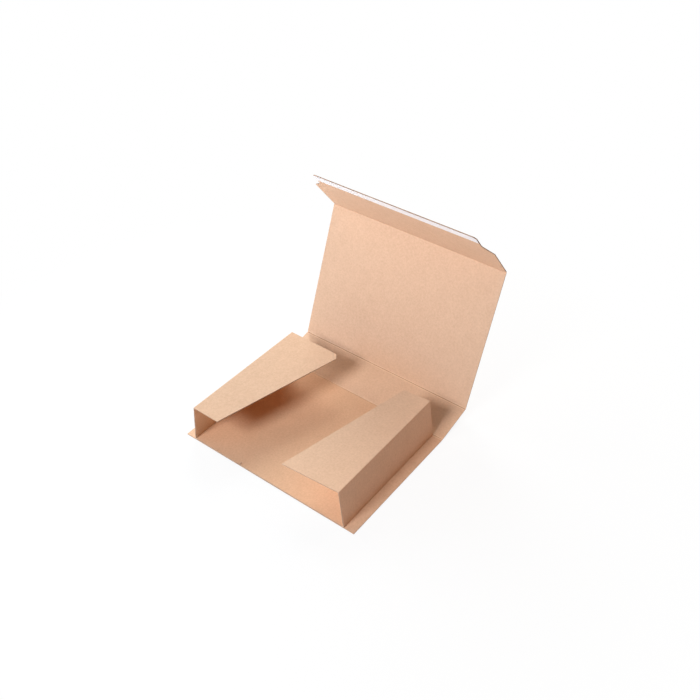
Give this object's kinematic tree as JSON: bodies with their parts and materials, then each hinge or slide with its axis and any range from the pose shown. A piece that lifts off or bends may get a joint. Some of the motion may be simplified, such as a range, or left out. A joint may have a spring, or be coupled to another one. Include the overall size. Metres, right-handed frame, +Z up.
{
  "type": "wraparound mailer",
  "caption": "Wraparound mailer of kraft board, open: a cover with a self-seal tongue hinged behind a tray whose side flaps fold in over the contents.",
  "frame": {"origin": "centre of the base panel's underside, on the surface that the mailer stands on", "axes": "+X across the pack to the right, +Y from the open front towards the spine and lid, +Z up"},
  "size_m": [0.3732, 0.4338, 0.388],
  "materials": {
    "kraft_board": "unprinted kraft liner on fluted board, matt",
    "liner_paper": "white silicone-coated release paper, satin",
    "glue": "hot-melt adhesive, pale and tacky"
  },
  "bodies": {
    "base": {"base_panel": "kraft_board", "tray_floor": "kraft_board", "tray_glue": "glue"},
    "spine": {"spine_panel": "kraft_board"},
    "lid": {"lid_panel": "kraft_board"},
    "closing_panel": {"closing_panel": "kraft_board"},
    "tongue": {"closing_tongue": "kraft_board", "adhesive_strip": "glue", "release_liner": "liner_paper"},
    "left_wall": {"left_wall": "kraft_board"},
    "left_flap": {"left_flap": "kraft_board"},
    "right_wall": {"right_wall": "kraft_board"},
    "right_flap": {"right_flap": "kraft_board"}
  },
  "joints": [
    {"name": "spine_fold", "type": "hinge", "parent": "base", "child": "spine", "pos_m": [0, 0.135, 0.0016], "axis": [-1, 0, 0], "range_deg": [-77.2, 12.8]},
    {"name": "lid_fold", "type": "hinge", "parent": "spine", "child": "lid", "pos_m": [0, 0.21252, 0.01921], "axis": [-1, 0, 0], "range_deg": [-30.9, 59.1]},
    {"name": "closing_fold", "type": "hinge", "parent": "lid", "child": "closing_panel", "pos_m": [0, 0.29749, 0.27918], "axis": [-1, 0, 0], "range_deg": [-31.1, 58.9]},
    {"name": "tongue_fold", "type": "hinge", "parent": "closing_panel", "child": "tongue", "pos_m": [0, 0.24365, 0.34156], "axis": [-1, 0, 0], "range_deg": [-90, 0]},
    {"name": "left_wall_fold", "type": "hinge", "parent": "base", "child": "left_wall", "pos_m": [-0.1666, -0.0004, 0.0017], "axis": [0, -1, 0], "range_deg": [0, 93.3]},
    {"name": "right_wall_fold", "type": "hinge", "parent": "base", "child": "right_wall", "pos_m": [0.1666, -0.0004, 0.0017], "axis": [0, 1, 0], "range_deg": [0, 98.9]},
    {"name": "left_flap_fold", "type": "hinge", "parent": "left_wall", "child": "left_flap", "pos_m": [-0.16209, -0.0004, 0.07997], "axis": [0, -1, 0], "range_deg": [-3.1, 86.9]},
    {"name": "right_flap_fold", "type": "hinge", "parent": "right_wall", "child": "right_flap", "pos_m": [0.15447, -0.0004, 0.07916], "axis": [0, 1, 0], "range_deg": [-3.7, 86.3]}
  ]
}
